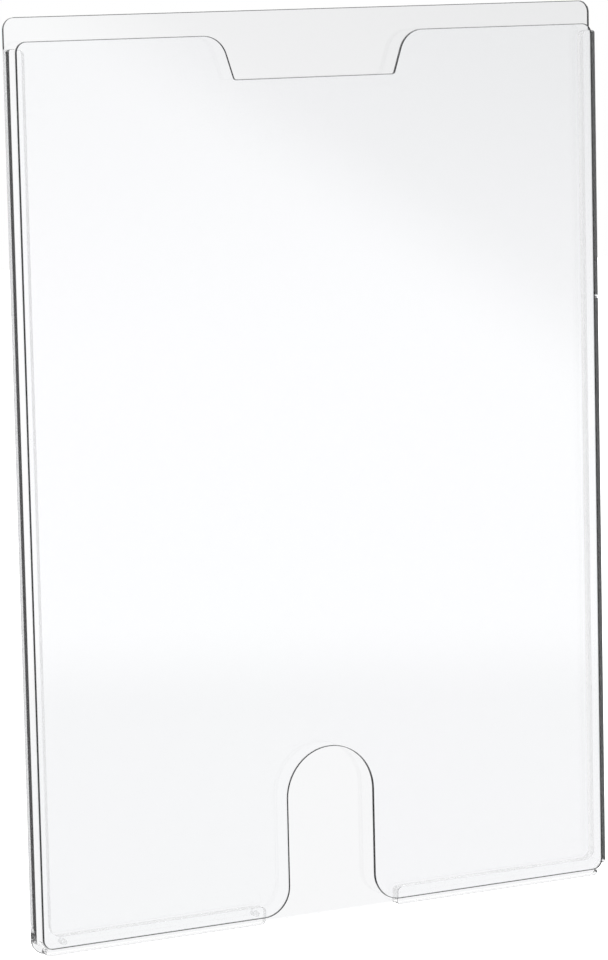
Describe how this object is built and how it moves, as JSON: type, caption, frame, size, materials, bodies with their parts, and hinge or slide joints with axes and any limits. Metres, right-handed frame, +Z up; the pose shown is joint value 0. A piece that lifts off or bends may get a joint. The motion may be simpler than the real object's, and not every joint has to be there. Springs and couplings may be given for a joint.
{
  "type": "wall document pocket",
  "caption": "Clear wall pocket for one upright A4 sheet: back panel, side rails with feet, and a front panel with a grip notch and a thumb slot.",
  "frame": {"origin": "centre of the back panel's rear face, the face that lies on the wall", "axes": "+Z up along the sheet's long side, +X to the reader's right, +Y into the wall; the reader stands on the -Y side"},
  "size_m": [0.224, 0.0063, 0.3114],
  "materials": {
    "back_panel": "clear, polished",
    "rails": "clear, polished",
    "front_panel": "clear, polished",
    "locating_pins": "clear, polished"
  },
  "bodies": {
    "root": {"back_panel": "back_panel", "left_rail": "rails", "right_rail": "rails", "front_panel": "front_panel", "locating_pins": "locating_pins"}
  },
  "joints": []
}
